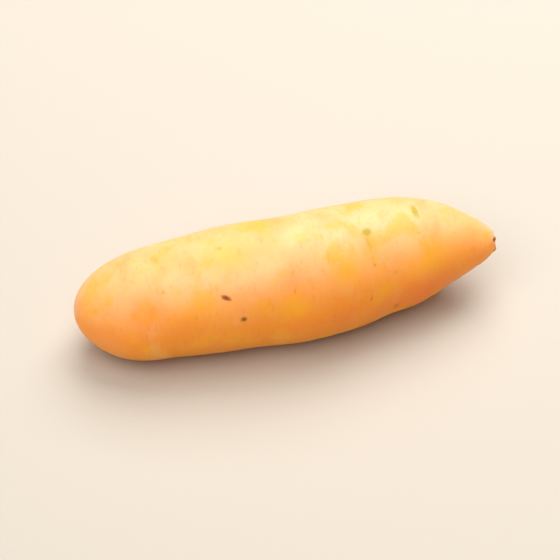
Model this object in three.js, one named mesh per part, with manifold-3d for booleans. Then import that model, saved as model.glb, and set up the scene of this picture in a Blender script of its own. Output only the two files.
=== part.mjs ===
// An arracacha root, washed and broken off its crown, lying on a flat surface.
//
// Millimetres, +Z up. +X runs along the root from its blunt tail end to its narrow neck end, and the origin
// is on the surface, under the middle of the root.
//
// The root is a profile turned round a straight axis, then bent along the root's own centre line and made
// slightly uneven. The surface that it lies on cuts a narrow flat along its underside.

import * as THREE from 'three';
import { mergeVertices } from 'three/addons/utils/BufferGeometryUtils.js';
import Module from 'manifold-3d';

// Driving dimensions
const LENGTH = 127;
const TAIL_RADIUS = 17;
const TAIL_LENGTH = 26;
const NECK_SCAR_RADIUS = 2.8;
const FLAT_DEPTH = 0.7;

// How finely the surface is divided
const STEPS_ALONG = 56;
const STEPS_ROUND = 44;

// The body from the tail's round cap to the neck: [distance from the tail's tip, radius].
const BODY = [
  [40, 18.4],
  [56, 18.9],
  [71, 19.0],
  [82, 18.5],
  [92, 17.3],
  [102, 15.9],
  [111, 12.8],
  [119, 8.7],
  [125, 4.8],
  [LENGTH, NECK_SCAR_RADIUS],
];

// The centre line: [distance from the tail's tip, sideways, height above the bed of the flat].
const CENTRE = [
  [0, 2.0, 15.2],
  [14, 0.2, 15.8],
  [30, -0.3, 17.2],
  [48, -1.0, 18.5],
  [70, -1.6, 19.0],
  [83, 0.1, 18.5],
  [92, 1.8, 18.4],
  [102, 2.0, 18.5],
  [114, 2.5, 18.8],
  [LENGTH, 0.8, 18.6],
];

// Slow swellings in the skin, as shares of the radius: [share, lobes round the root, turns along it, phase].
const SWELLINGS = [
  [0.012, 2, 0.6, 0.4],
  [0.007, 3, 1.3, 2.1],
  [0.005, 1, 4.5, 0.9],
];

/** The root's outline, from the tail's tip round the cap, along the body and in to the middle of the neck. */
function rootOutline() {
  const outline = new THREE.Path();
  outline.absellipse(0, TAIL_LENGTH, TAIL_RADIUS, TAIL_LENGTH, -Math.PI / 2, 0);
  outline.splineThru(BODY.map(([along, radius]) => new THREE.Vector2(radius, along)));
  outline.lineTo(0, LENGTH);
  return outline;
}

/** How far the skin stands out at a place, as a share of the radius there. */
function swelling(along, angle) {
  const turn = (2 * Math.PI * along) / LENGTH;
  return SWELLINGS.reduce(
    (sum, [share, lobes, turns, phase]) => sum + share * Math.cos(lobes * angle + turns * turn + phase),
    0,
  );
}

/** The turned outline, bent along the centre line, with its skin made uneven. */
function bentRoot() {
  const outline = rootOutline().getSpacedPoints(STEPS_ALONG);
  const root = new THREE.LatheGeometry(outline, STEPS_ROUND);
  const centre = new THREE.CatmullRomCurve3(
    CENTRE.map(([along, side, height]) => new THREE.Vector3(along, side, height)),
  );
  const position = root.getAttribute('position');
  const turned = new THREE.Vector3();
  for (let i = 0; i < position.count; i += 1) {
    turned.fromBufferAttribute(position, i);
    const along = turned.y;
    const angle = Math.atan2(turned.x, turned.z);
    const stretch = 1 + swelling(along, angle);
    const middle = centre.getPointAt(THREE.MathUtils.clamp(along / LENGTH, 0, 1));
    position.setXYZ(i, along, middle.y + turned.z * stretch, middle.z + turned.x * stretch);
  }
  return root;
}

/** A closed geometry as a solid that can be cut. */
function toSolid(wasm, geometry) {
  const bare = geometry.clone();
  bare.deleteAttribute('normal');
  bare.deleteAttribute('uv');
  const merged = mergeVertices(bare, 1e-3);
  return new wasm.Manifold(
    new wasm.Mesh({
      numProp: 3,
      vertProperties: merged.getAttribute('position').array,
      triVerts: new Uint32Array(merged.getIndex().array),
    }),
  );
}

/** A solid's surface as a geometry. */
function toGeometry(solid) {
  const mesh = solid.getMesh();
  const geometry = new THREE.BufferGeometry();
  geometry.setAttribute('position', new THREE.BufferAttribute(mesh.vertProperties, 3));
  geometry.setIndex(new THREE.BufferAttribute(mesh.triVerts, 1));
  geometry.computeVertexNormals();
  return geometry;
}

/** The bent root with its underside cut to the surface at height 0, over the origin. */
async function restingRoot() {
  const wasm = await Module();
  wasm.setup();
  const root = bentRoot().translate(0, 0, -FLAT_DEPTH);
  const ground = new THREE.BoxGeometry(2 * LENGTH, LENGTH, LENGTH).translate(LENGTH / 2, 0, -LENGTH / 2);
  const rested = toGeometry(toSolid(wasm, root).subtract(toSolid(wasm, ground)));
  rested.computeBoundingBox();
  const middle = rested.boundingBox.getCenter(new THREE.Vector3());
  return rested.translate(-middle.x, -middle.y, 0);
}

const skin = new THREE.MeshStandardMaterial({ color: 0xf5bb6a, roughness: 0.45, metalness: 0 });
const root = new THREE.Mesh(await restingRoot(), skin);
root.name = 'arracacha_root';

const arracacha = new THREE.Group();
arracacha.add(root);

export default arracacha;
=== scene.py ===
"""An arracacha root, washed and broken off its crown, lying on a pale floor.

The root's skin is one fine mesh. Its outline and bend are those of the CAD model that it stands for.
Its swellings, wrinkles, creases, pores and scars are moved into the mesh.
The material tints the same marks, and paints the root paler on top and deeper orange underneath: painted
light and shade.
Lengths are millimetres until the mesh is made.
Angles are degrees round the root: 0 is +Y, 90 is the top and 180 is the camera's side.
"""

import math

import bpy
import numpy as np
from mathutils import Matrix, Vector, noise


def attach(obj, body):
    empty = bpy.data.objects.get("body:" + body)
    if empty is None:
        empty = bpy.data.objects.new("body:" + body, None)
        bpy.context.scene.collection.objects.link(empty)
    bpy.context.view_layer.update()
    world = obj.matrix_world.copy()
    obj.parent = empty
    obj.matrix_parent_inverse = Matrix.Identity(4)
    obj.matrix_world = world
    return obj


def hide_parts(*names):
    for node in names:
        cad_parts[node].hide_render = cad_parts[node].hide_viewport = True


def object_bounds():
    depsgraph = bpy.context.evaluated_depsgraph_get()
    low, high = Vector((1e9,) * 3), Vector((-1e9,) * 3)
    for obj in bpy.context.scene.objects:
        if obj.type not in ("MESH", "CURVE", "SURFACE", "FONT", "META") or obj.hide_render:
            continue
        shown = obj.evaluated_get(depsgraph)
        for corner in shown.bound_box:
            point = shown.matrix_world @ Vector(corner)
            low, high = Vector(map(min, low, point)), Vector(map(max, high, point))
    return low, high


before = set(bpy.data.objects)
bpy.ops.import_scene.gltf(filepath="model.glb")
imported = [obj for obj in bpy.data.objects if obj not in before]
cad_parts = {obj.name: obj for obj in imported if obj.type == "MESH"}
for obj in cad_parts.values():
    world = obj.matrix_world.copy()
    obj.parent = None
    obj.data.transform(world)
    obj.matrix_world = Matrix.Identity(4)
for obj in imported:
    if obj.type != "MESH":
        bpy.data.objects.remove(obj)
CAD_LOW, CAD_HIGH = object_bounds()
MM = 0.001

# ---------------------------------------------------------------- the root's shape, from the tail's tip
LENGTH = 127.0
TAIL_RADIUS = 17.0
TAIL_LENGTH = 26.0
FLAT_DEPTH = 0.7
BODY = (  # distance, radius
    (26, 17.0), (40, 18.4), (56, 18.9), (71, 19.0), (82, 18.5), (92, 17.3),
    (102, 15.9), (111, 12.8), (119, 8.7), (125, 4.8), (LENGTH, 2.8),
)
CENTRE = (  # distance, sideways, height
    (0, 2.0, 15.2), (14, 0.2, 15.8), (30, -0.3, 17.2), (48, -1.0, 18.5), (70, -1.6, 19.0),
    (83, 0.1, 18.5), (92, 1.8, 18.4), (102, 2.0, 18.5), (114, 2.5, 18.8), (LENGTH, 0.8, 18.6),
)
SWELLINGS = (  # share of the radius, lobes round the root, turns along it, phase
    (0.012, 2, 0.6, 0.4), (0.007, 3, 1.3, 2.1), (0.005, 1, 4.5, 0.9),
)
# The broken neck is a shallow cup with a rolled rim: distance, radius.
NECK_CUP = (
    (126.0, 3.75), (126.7, 3.2), (127.0, 2.6), (126.8, 2.1), (126.3, 1.6), (126.0, 0.9), (125.9, 0.0),
)
# Rings lie closer together by this factor past this distance, for the neck scar's detail.
NECK_FINE_FROM = 118.0
NECK_FINENESS = 1.8
RINGS = 430
SIDES = 224

# Creases round part of the root: distance, first angle, last angle, depth, half width, slant.
CREASES = (
    (15.5, 58, 112, 0.09, 1.2, -1.6),
    (21.5, 30, 95, 0.07, 1.5, 1.0),
    (33.0, -70, 20, 0.22, 0.5, 1.5),
    (52.0, 250, 330, 0.20, 0.45, -2.0),
    (64.5, -40, 35, 0.16, 0.5, 1.2),
    (88.0, 10, 60, 0.15, 0.6, -1.0),
    (97.5, 160, 215, 0.07, 1.3, 1.4),
    (106.0, -70, 50, 0.14, 0.6, 1.0),
    (112.5, 165, 260, 0.07, 0.9, -0.8),
    (117.0, -40, 70, 0.12, 0.5, 0.7),
    (120.8, 180, 330, 0.12, 0.5, 0.6),
    (123.2, -80, 90, 0.12, 0.4, 0.4),
)

# Marks on the skin: kind, distance, angle, half length along, half length round, tilt, strength, depth.
MARKS = (
    ("brown", 41.7, 143, 1.65, 0.75, 28, 1.0, 0.16),
    ("brown", 46.2, 166, 0.92, 0.92, 0, 1.0, 0.14),
    ("olive", 86.4, 108, 1.45, 1.25, 10, 1.0, 0.05),
    ("olive", 102.8, 90, 1.1, 2.8, 0, 0.9, 0.08),
    ("olive", 102.0, 118, 0.7, 0.6, 0, 0.5, 0.03),
    ("brown", 86.7, 140, 0.6, 0.8, 0, 0.5, 0.05),
    ("olive", 93.1, 154, 1.1, 0.9, 0, 0.36, 0.05),
    ("olive", 24.2, 126, 0.7, 0.7, 0, 0.55, 0.05),
    ("olive", 42.8, 95, 1.0, 0.9, 0, 0.6, 0.04),
    ("olive", 13.9, 73, 0.5, 1.4, 0, 0.5, 0.04),
    ("olive", 57.4, 76, 0.5, 1.1, 0, 0.5, 0.04),
    ("brown", 85.1, 171, 0.6, 1.6, 12, 0.42, 0.08),
    ("orange", 94.0, 196, 3.0, 2.6, -10, 1.0, 0.20),
    ("brown", 93.4, 198, 1.0, 1.1, -10, 0.55, 0.05),
    ("brown", 61.8, 131, 0.4, 1.2, 0, 0.35, 0.04),
    ("yellow", 78.1, 137, 4.0, 4.5, 0, 1.0, 0.0),
    ("yellow", 61.8, 162, 4.5, 4.0, 0, 0.9, 0.0),
    ("yellow", 92.0, 172, 8.0, 4.5, 0, 0.6, 0.0),
    ("yellow", 33.0, 150, 7.0, 4.5, 0, 0.6, 0.0),
    ("yellow", 44.1, 106, 5.0, 5.0, 0, 0.8, 0.0),
    ("yellow", 105.0, 158, 9.0, 6.0, 0, 1.0, 0.0),
    ("orange", 18.7, 140, 5.5, 5.5, 0, 0.40, 0.0),
    ("orange", 29.6, 163, 5.5, 4.5, 0, 0.35, 0.0),
    ("orange", 62.0, 131, 3.0, 4.0, 0, 0.35, 0.0),
    ("orange", 76.0, 190, 16.0, 6.0, 0, 0.55, 0.0),
    ("orange", 102.0, 188, 13.0, 7.0, 0, 1.0, 0.0),
    ("pink", 7.1, 190, 5.0, 6.0, 0, 0.6, 0.0),
    # The side away from the camera: where side roots came off, and slits and chips from the digging.
    ("brown", 1.9, 300, 1.1, 1.4, 0, 1.0, 0.25),
    ("brown", 74.0, 22, 3.4, 0.45, 24, 0.9, 0.30),
    ("brown", 30.5, 350, 0.4, 3.2, 8, 0.8, 0.22),
    ("brown", 90.5, 318, 2.6, 1.5, -18, 0.9, 0.28),
    ("brown", 93.6, 311, 0.8, 0.8, 0, 1.0, 0.35),
    ("brown", 22.0, 28, 0.9, 1.6, 15, 0.8, 0.14),
    ("olive", 62.5, 305, 1.4, 1.1, 0, 0.9, 0.06),
    ("orange", 50.0, 10, 9.0, 6.0, 0, 0.4, 0.0),
    ("yellow", 84.0, 350, 8.0, 6.0, 0, 0.7, 0.0),
    ("yellow", 26.0, 320, 7.0, 6.0, 0, 0.6, 0.0),
)
# Round scars where a side root came off: distance, angle, radius, height of the middle.
ROOT_SCARS = (
    (52.0, 338, 3.1, 0.35),
    (101.5, 28, 1.9, 0.20),
)
# The shares that the mesh carries to the material, besides how far each place faces upward, which the
# material uses for painted light and shade: paler on top, deeper orange underneath.
TINTS = ("brown", "olive", "yellow", "orange", "pink", "groove", "cork", "pith")
PORES = 120
PORE_SEED = 11

# The surroundings are pale at the horizon and dim above it. The band gives the sines of the change's heights.
WORLD_GLOW = 0.12
HORIZON_GLOW = 0.55
HORIZON_BAND = (0.02, 0.30)

# Directions are azimuth and elevation in degrees, as back_to takes them.
CAMERA_AZIMUTH, CAMERA_ELEVATION = -13.5, 44
CAMERA_LENS = 218
AIM_OFFSET = (-2.2, 0.0, -1.2)
FLOOR_SIZE = 60


def smooth_through(points, at, column=1):
    """Values at the given distances, on a smooth curve through the points."""
    x = np.array([p[0] for p in points], float)
    y = np.array([p[column] for p in points], float)
    slope = np.gradient(y, x)
    i = np.clip(np.searchsorted(x, at) - 1, 0, len(x) - 2)
    step = x[i + 1] - x[i]
    t = np.clip((at - x[i]) / step, 0, 1)
    return (
        y[i] * (1 + 2 * t) * (1 - t) ** 2
        + y[i + 1] * t * t * (3 - 2 * t)
        + slope[i] * step * t * (1 - t) ** 2
        + slope[i + 1] * step * t * t * (t - 1)
    )


def ring_places():
    """Each ring's distance, radius and way past the neck's edge, from the tail's tip into the neck cup."""
    turn = np.linspace(0, math.pi / 2, 400)
    body = np.linspace(TAIL_LENGTH, NECK_CUP[0][0], 1500)[1:-1]
    corners = [(i, *point) for i, point in enumerate(NECK_CUP)]
    cup = np.linspace(0, len(NECK_CUP) - 1, 200)
    along = np.concatenate([TAIL_LENGTH * (1 - np.cos(turn)), body, smooth_through(corners, cup, 1)])
    cap = TAIL_RADIUS * np.sin(turn)
    radius = np.concatenate([cap, smooth_through(BODY, body), smooth_through(corners, cup, 2)])
    step = np.hypot(np.diff(along), np.diff(radius))
    past = np.concatenate([[0], np.cumsum(step)])
    past = past - past[-len(cup)]
    fineness = np.where(along[1:] > NECK_FINE_FROM, NECK_FINENESS, 1.0)
    crowding = np.concatenate([[0], np.cumsum(step * fineness)])
    rings = np.linspace(0, crowding[-1], RINGS)
    return [np.interp(rings, crowding, values)[:, None] for values in (along, radius, past)]


def bent_surface(along, radius, angle):
    """The smooth root before any detail, as a grid of points: ring by ring, then round each ring."""
    turn = 2 * math.pi * along / LENGTH
    waves = [share * np.cos(lobes * angle + turns * turn + phase) for share, lobes, turns, phase in SWELLINGS]
    stretch = 1 + sum(waves)
    side = smooth_through(CENTRE, along, 1) + radius * stretch * np.cos(angle)
    height = smooth_through(CENTRE, along, 2) + radius * stretch * np.sin(angle) - FLAT_DEPTH
    return np.stack(np.broadcast_arrays(along, side, height), axis=-1)


def outward(points):
    """Unit normals of a grid of points that closes on itself round each ring."""
    around = np.roll(points, -1, axis=1) - np.roll(points, 1, axis=1)
    normal = np.cross(around, np.gradient(points, axis=0))
    normal[0], normal[-1] = (-1, 0, 0), (1, 0, 0)
    return normal / np.linalg.norm(normal, axis=-1, keepdims=True)


def grain(points, size, seed, along=1.0, octaves=2):
    """Smooth noise of about -1 to 1, its patches about size across the root and size / along lengthwise."""
    shift = (seed * 17.3, seed * 5.1, seed * 9.7)
    scaled = points.reshape(-1, 3) * (along / size, 1 / size, 1 / size) + shift
    values = [noise.fractal(Vector(p), 1.0, 2.0, octaves) for p in scaled]
    return np.array(values).reshape(points.shape[:-1])


def turned_by(angle, middle):
    """How far round from middle each angle is, from -180 to 180 degrees."""
    return (np.degrees(angle) - middle + 180) % 360 - 180


def crease(along, angle, index, place, first, last, depth, width, slant):
    """One crease: a groove that wavers and fades out at its ends, and the low lip along its neck side."""
    turn = turned_by(angle, (first + last) / 2) / ((last - first) / 2)
    waver = [0.9 * noise.noise(Vector((t * 2.5, index * 7.7, 0.5))) for t in turn.ravel()]
    off = (along - place - slant * turn - np.array(waver).reshape(turn.shape)) / width
    fade = np.clip(1 - turn**2, 0, 1)
    groove = fade * np.exp(-(off**2))
    lip = fade * np.exp(-(((off - 2.2) / 1.5) ** 2))
    return depth * (0.3 * lip - groove), groove


def mark_shape(along, angle, radius, place, middle, length, width, tilt):
    """How much of a mark lies at each point: 1 inside it, falling to 0 outside."""
    round_by = np.radians(turned_by(angle, middle)) * radius
    c, s = math.cos(math.radians(tilt)), math.sin(math.radians(tilt))
    a = ((along - place) * c + round_by * s) / length
    b = (round_by * c - (along - place) * s) / width
    return np.exp(-(a * a + b * b))


def eased(value, low, high):
    """value from low..high eased to 0..1."""
    t = np.clip((value - low) / (high - low), 0, 1)
    return t * t * (3 - 2 * t)


def root_scar(along, angle, radius, ragged, place, middle, size, rise):
    """A round scar: how far it lifts the skin, its brown edge and its raised middle."""
    round_by = np.radians(turned_by(angle, middle)) * radius
    off = np.hypot((along - place) * 1.15, round_by) / (size * (1 + 0.30 * ragged))
    edge = np.exp(-(((off - 1) / 0.11) ** 2))
    dome = eased(off, 1.05, 0.55)
    return rise * dome * (1 + 0.5 * ragged) - 0.22 * edge, edge * eased(ragged, -1.1, 0.1), dome


def neck_scar(angle, past, ragged):
    """The broken neck: how far its torn fibres lift it, its cork-brown skin and its dark pith."""
    torn = np.array([noise.noise(Vector((math.cos(a) * 3, math.sin(a) * 3, 1.5))) for a in angle.ravel()])
    fibres = np.array([noise.noise(Vector((math.cos(a) * 9, math.sin(a) * 9, 4.5))) for a in angle.ravel()])
    cork = eased(past + 0.9 * torn[None, :] + 0.5 * ragged, 0.1, 1.3)
    pith = eased(past + 0.5 * fibres[None, :], 2.6, 3.6)
    return cork * (0.35 * torn + 0.25 * fibres)[None, :] * eased(past, 4.6, 2.0), cork, pith


def random_pores():
    """Pores scattered over the skin, most of them faint, each longer round the root than along it."""
    dice = np.random.default_rng(PORE_SEED)
    for _ in range(PORES):
        kind = "brown" if dice.random() < 0.6 else "olive"
        size = dice.uniform(0.25, 0.55)
        yield (
            kind, dice.uniform(8, 120), dice.uniform(0, 360), size, size * dice.uniform(1.2, 3.5),
            dice.uniform(-15, 15), dice.uniform(0.15, 0.6) ** 1.5, dice.uniform(0.02, 0.08),
        )


def shaped_skin():
    """The detailed grid of points, and for each tint or mask its share at every point."""
    along, radius, past = ring_places()
    angle = np.arange(SIDES)[None, :] * 2 * math.pi / SIDES
    base = bent_surface(along, radius, angle)
    along_all = np.broadcast_to(along, base.shape[:-1])
    girth = np.maximum(radius, 1)
    neck = np.clip((along - 100) / 22, 0, 1)
    fine = grain(base, 2.2, 6, octaves=3)

    relief = 0.28 * grain(base, 30, 1) + 0.08 * grain(base, 10, 2) + 0.02 * grain(base, 3.5, 3)
    rings = grain(base, 11, 4, along=5.0, octaves=2)
    relief = relief + rings * (0.025 + 0.07 * neck) * (0.6 + 0.6 * grain(base, 20, 5))
    masks = {tint: np.zeros(base.shape[:-1]) for tint in TINTS}
    # How far each place faces upward, for the painted light and shade in the skin's colour.
    masks["upward"] = np.broadcast_to(np.sin(angle), base.shape[:-1])
    for index, (place, first, last, depth, width, slant) in enumerate(CREASES):
        moved, groove = crease(along_all, angle, index, place, first, last, depth, width, slant)
        relief = relief + moved
        masks["groove"] = np.maximum(masks["groove"], groove * min(1, depth / 0.2))
    for kind, place, middle, length, width, tilt, strength, depth in (*MARKS, *random_pores()):
        share = mark_shape(along, angle, girth, place, middle, length, width, tilt)
        masks[kind] = np.maximum(masks[kind], share * strength)
        relief = relief - depth * share
    for scar in ROOT_SCARS:
        moved, edge, dome = root_scar(along, angle, girth, fine, *scar)
        relief = relief + moved
        masks["brown"] = np.maximum(masks["brown"], 0.75 * edge)
        masks["groove"] = np.maximum(masks["groove"], dome)
    moved, masks["cork"], masks["pith"] = neck_scar(angle, past, fine)
    relief = relief + moved

    points = base + outward(base) * relief[..., None]
    height = points[..., 2]
    points[..., 2] = (height + np.sqrt(height**2 + 0.02)) / 2
    points[..., 0] += CAD_LOW.x / MM
    points[..., 1] += (CAD_LOW.y + CAD_HIGH.y) / 2 / MM - (points[..., 1].min() + points[..., 1].max()) / 2
    points[..., 2] += CAD_LOW.z / MM - points[..., 2].min()
    return points, masks


def make_root():
    """The skin as a closed mesh: a point at each end, and rings of faces between."""
    points, masks = shaped_skin()
    vertices = np.concatenate([points[:1, 0], points[1:-1].reshape(-1, 3), points[-1:, 0]]) * MM
    last = len(vertices) - 1
    start = [1 + ring * SIDES for ring in range(RINGS - 2)]
    faces = []
    for side in range(SIDES):
        beside = (side + 1) % SIDES
        faces.append((0, start[0] + beside, start[0] + side))
        faces.append((last, start[-1] + side, start[-1] + beside))
        for low, high in zip(start, start[1:]):
            faces.append((low + side, low + beside, high + beside, high + side))
    mesh = bpy.data.meshes.new("arracacha_skin")
    mesh.from_pydata(vertices.tolist(), [], faces)
    for name, mask in masks.items():
        values = np.concatenate([mask[:1, 0], mask[1:-1].ravel(), mask[-1:, 0]])
        mesh.attributes.new(name, "FLOAT", "POINT").data.foreach_set("value", values.astype(np.float32))
    mesh.shade_smooth()
    root = bpy.data.objects.new("arracacha_skin", mesh)
    bpy.context.scene.collection.objects.link(root)
    return root


# ---------------------------------------------------------------- materials
def srgb(red, green, blue):
    """A colour given as a screen shows it, 0 to 255, as the shader's linear numbers."""
    shown = [level / 255 for level in (red, green, blue)]
    return (*[c / 12.92 if c <= 10 / 255 else ((c + 0.055) / 1.055) ** 2.4 for c in shown], 1)


class Shader:
    """A material's node tree, with short calls for the nodes used here."""

    def __init__(self, name):
        self.material = bpy.data.materials.new(name)
        self.material.use_nodes = True
        self.tree = self.material.node_tree
        self.principled = self.tree.nodes["Principled BSDF"]
        self.place = self.node("ShaderNodeTexCoord").outputs["Object"]

    def node(self, kind, **settings):
        made = self.tree.nodes.new(kind)
        for name, value in settings.items():
            setattr(made, name, value)
        return made

    def feed(self, socket, value):
        """A link from another node's output, or a plain value."""
        if isinstance(value, bpy.types.NodeSocket):
            self.tree.links.new(value, socket)
        else:
            socket.default_value = value

    def math(self, operation, a, b):
        made = self.node("ShaderNodeMath", operation=operation)
        self.feed(made.inputs[0], a)
        self.feed(made.inputs[1], b)
        return made.outputs[0]

    def span(self, value, low, high, to_low=0.0, to_high=1.0):
        """value from low..high eased to to_low..to_high."""
        made = self.node("ShaderNodeMapRange", interpolation_type="SMOOTHSTEP")
        for socket, given in zip(made.inputs, (value, low, high, to_low, to_high)):
            self.feed(socket, given)
        return made.outputs[0]

    def stretched(self, along):
        """The place on the root with its length scaled, which makes noise finer lengthwise."""
        made = self.node("ShaderNodeMapping")
        self.feed(made.inputs["Vector"], self.place)
        self.feed(made.inputs["Scale"], (along, 1, 1))
        return made.outputs[0]

    def noise(self, size, detail, rough=0.5, vector=None, seed=0.0):
        """Noise of 0 to 1 whose patches are about size millimetres across."""
        made = self.node("ShaderNodeTexNoise", noise_dimensions="4D")
        self.feed(made.inputs["Vector"], vector or self.place)
        self.feed(made.inputs["W"], seed)
        self.feed(made.inputs["Scale"], 1 / (size * MM))
        self.feed(made.inputs["Detail"], detail)
        self.feed(made.inputs["Roughness"], rough)
        return made.outputs[0]

    def mask(self, name):
        """A share that the mesh carries, by its name."""
        return self.node("ShaderNodeAttribute", attribute_name=name).outputs["Fac"]

    def mix(self, under, over, share):
        """One colour laid over another by a share of 0 to 1."""
        made = self.node("ShaderNodeMix", data_type="RGBA")
        self.feed(made.inputs["Factor"], share)
        self.feed(made.inputs["A"], under)
        self.feed(made.inputs["B"], over)
        return made.outputs["Result"]


def skin_material():
    """Satin skin that light sinks into a little, with the mesh's marks tinted and cork at the broken neck.
    Its colour is painted paler on top and deeper orange underneath, as painted light and shade.
    """
    s = Shader("arracacha_skin")
    broad = s.noise(26, 2, seed=1.0)
    patches = s.noise(9, 3, seed=2.0)
    speckle = s.noise(1.2, 4, 0.65, seed=3.0)
    rings = s.noise(11, 2.5, 0.5, vector=s.stretched(1.8), seed=4.0)
    dashes = s.noise(3.0, 1.5, 0.5, vector=s.stretched(4.0), seed=5.0)
    flecks = s.noise(0.9, 2.0, 0.5, seed=6.0)

    # Painted light and shade: the base colour runs from deep orange underneath to pale cream on top, by how
    # far the skin faces upward, with broad noise wavering the change.
    painted_light_share = s.span(s.math("ADD", s.mask("upward"), s.math("SUBTRACT", broad, 0.5)), 0.0, 1.05)
    colour = s.mix(srgb(247, 151, 0), srgb(251, 186, 126), painted_light_share)
    colour = s.mix(colour, srgb(245, 153, 16), s.math("MULTIPLY", s.span(broad, 0.45, 0.70), 0.5))
    colour = s.mix(colour, srgb(247, 168, 20), s.math("MULTIPLY", s.span(patches, 0.50, 0.64), 0.65))
    colour = s.mix(colour, srgb(240, 144, 40), s.math("MULTIPLY", s.span(rings, 0.50, 0.75), 0.35))
    colour = s.mix(colour, srgb(252, 188, 124), s.math("MULTIPLY", s.span(rings, 0.46, 0.28), 0.3))
    colour = s.mix(colour, srgb(226, 134, 40), s.math("MULTIPLY", s.span(dashes, 0.58, 0.72), 0.30))
    colour = s.mix(colour, srgb(232, 140, 30), s.math("MULTIPLY", s.span(flecks, 0.58, 0.70), 0.22))
    colour = s.mix(colour, srgb(248, 174, 2), s.math("MULTIPLY", s.mask("yellow"), 0.75))
    colour = s.mix(colour, srgb(238, 116, 0), s.math("MULTIPLY", s.mask("orange"), 0.75))
    colour = s.mix(colour, srgb(246, 158, 92), s.math("MULTIPLY", s.mask("pink"), 0.6))
    colour = s.mix(colour, srgb(222, 132, 60), s.math("MULTIPLY", s.mask("groove"), 0.35))
    ragged = s.math("MULTIPLY", s.math("SUBTRACT", speckle, 0.5), 0.9)
    olive = s.span(s.math("ADD", s.mask("olive"), ragged), 0.1, 0.7)
    brown = s.span(s.math("ADD", s.mask("brown"), ragged), 0.15, 0.65)
    colour = s.mix(colour, srgb(176, 154, 0), s.math("MULTIPLY", olive, 0.95))
    core = s.span(s.mask("brown"), 0.55, 0.95)
    scab = s.mix(srgb(190, 102, 4), srgb(128, 60, 0), core)
    colour = s.mix(colour, scab, s.math("MULTIPLY", brown, 0.95))
    bark = s.mix(srgb(196, 138, 82), srgb(104, 62, 30), s.span(speckle, 0.35, 0.62))
    cork = s.span(s.math("ADD", s.mask("cork"), ragged), 0.25, 0.75)
    colour = s.mix(colour, bark, s.math("MULTIPLY", cork, 0.95))
    colour = s.mix(colour, srgb(58, 34, 18), s.math("MULTIPLY", s.mask("pith"), 0.85))
    s.feed(s.principled.inputs["Base Color"], colour)

    rough = s.span(patches, 0.3, 0.7, 0.46, 0.58)
    rough = s.math("MAXIMUM", rough, s.math("MULTIPLY", s.math("MAXIMUM", cork, brown), 0.85))
    s.feed(s.principled.inputs["Roughness"], rough)
    s.principled.inputs["Subsurface Weight"].default_value = 0.8
    s.principled.inputs["Subsurface Radius"].default_value = (1.0, 0.4, 0.1)
    s.principled.inputs["Subsurface Scale"].default_value = 0.008
    s.principled.inputs["IOR"].default_value = 1.42
    s.principled.inputs["Coat Weight"].default_value = 0.25
    s.principled.inputs["Coat IOR"].default_value = 1.6
    s.principled.inputs["Coat Roughness"].default_value = 0.5

    bump = s.node("ShaderNodeBump")
    bump.inputs["Strength"].default_value = 0.35
    bump.inputs["Distance"].default_value = 0.0003
    height = s.math("ADD", s.math("MULTIPLY", rings, 0.35), s.math("MULTIPLY", speckle, 0.22))
    height = s.math("SUBTRACT", height, s.math("MULTIPLY", s.span(dashes, 0.55, 0.72), 0.12))
    s.feed(bump.inputs["Height"], height)
    s.feed(s.principled.inputs["Normal"], bump.outputs[0])
    return s.material


def floor_material():
    s = Shader("pale_floor")
    s.principled.inputs["Base Color"].default_value = srgb(190, 180, 166)
    s.principled.inputs["Roughness"].default_value = 0.7
    return s.material


# ---------------------------------------------------------------- the setting
def make_floor():
    bpy.ops.mesh.primitive_plane_add(size=FLOOR_SIZE, location=(0, 0, CAD_LOW.z))
    floor = bpy.context.object
    floor.name = "floor"
    floor.data.materials.append(floor_material())


def back_to(azimuth, elevation):
    """The direction from the root to a camera or light. Azimuth 0 is -Y, and 90 is +X."""
    a, e = math.radians(azimuth), math.radians(elevation)
    return Vector((math.sin(a) * math.cos(e), -math.cos(a) * math.cos(e), math.sin(e)))


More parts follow.
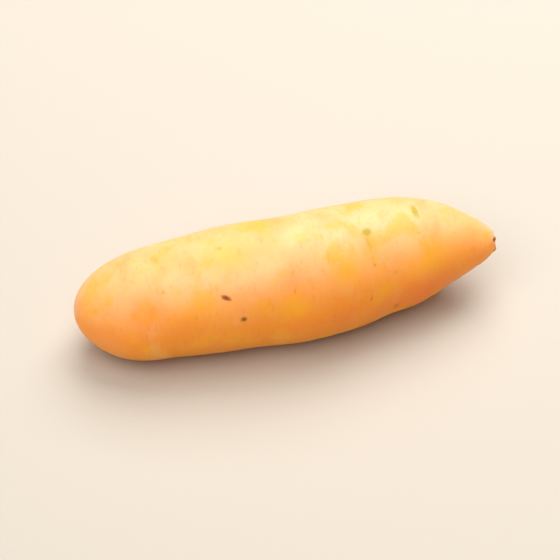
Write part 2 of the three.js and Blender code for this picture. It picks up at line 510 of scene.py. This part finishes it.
def make_light(name, azimuth, elevation, distance, size, power):
    """A square soft light that faces the root."""
    back = back_to(azimuth, elevation)
    lamp = bpy.data.lights.new(name, "AREA")
    lamp.size = size
    lamp.energy = power
    light = bpy.data.objects.new(name, lamp)
    light.location = (CAD_LOW + CAD_HIGH) / 2 + back * distance
    light.rotation_mode = "QUATERNION"
    light.rotation_quaternion = (-back).to_track_quat("-Z", "Y")
    bpy.context.scene.collection.objects.link(light)


def make_camera():
    """Looks down on the root from its tail side, from a metre away."""
    aim = (CAD_LOW + CAD_HIGH) / 2 + Vector(AIM_OFFSET) * MM
    back = back_to(CAMERA_AZIMUTH, CAMERA_ELEVATION)
    camera = bpy.data.objects.new("camera", bpy.data.cameras.new("camera"))
    camera.data.lens = CAMERA_LENS
    camera.location = aim + back
    camera.rotation_mode = "QUATERNION"
    camera.rotation_quaternion = (-back).to_track_quat("-Z", "Y")
    bpy.context.scene.collection.objects.link(camera)
    bpy.context.scene.camera = camera


def make_sun(azimuth, elevation, spread, strength):
    """Even soft light from one side, which falls off nowhere."""
    lamp = bpy.data.lights.new("sky_panel", "SUN")
    lamp.angle = math.radians(spread)
    lamp.energy = strength
    light = bpy.data.objects.new("sky_panel", lamp)
    light.rotation_mode = "QUATERNION"
    light.rotation_quaternion = (-back_to(azimuth, elevation)).to_track_quat("-Z", "Y")
    bpy.context.scene.collection.objects.link(light)


def make_world():
    """Dim all round, with a pale band along the horizon where the floor ends."""
    world = bpy.data.worlds.new("studio")
    world.use_nodes = True
    nodes, links = world.node_tree.nodes, world.node_tree.links
    apart = nodes.new("ShaderNodeSeparateXYZ")
    links.new(nodes.new("ShaderNodeTexCoord").outputs["Generated"], apart.inputs[0])
    fade = nodes.new("ShaderNodeMapRange")
    fade.interpolation_type = "SMOOTHSTEP"
    for socket, given in zip(list(fade.inputs)[1:5], (*HORIZON_BAND, HORIZON_GLOW, WORLD_GLOW)):
        socket.default_value = given
    links.new(apart.outputs[2], fade.inputs[0])
    background = nodes["Background"]
    background.inputs["Color"].default_value = (1, 0.95, 0.88, 1)
    links.new(fade.outputs[0], background.inputs["Strength"])
    bpy.context.scene.world = world


make_camera()
make_world()
make_light("key", 150, 60, 1.0, 0.9, 13.5)
make_sun(-40, 62, 62, 2.6)
make_floor()
root = make_root()
root.data.materials.append(skin_material())
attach(root, "root")
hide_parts("arracacha_root")
bpy.context.scene.view_settings.view_transform = "Standard"
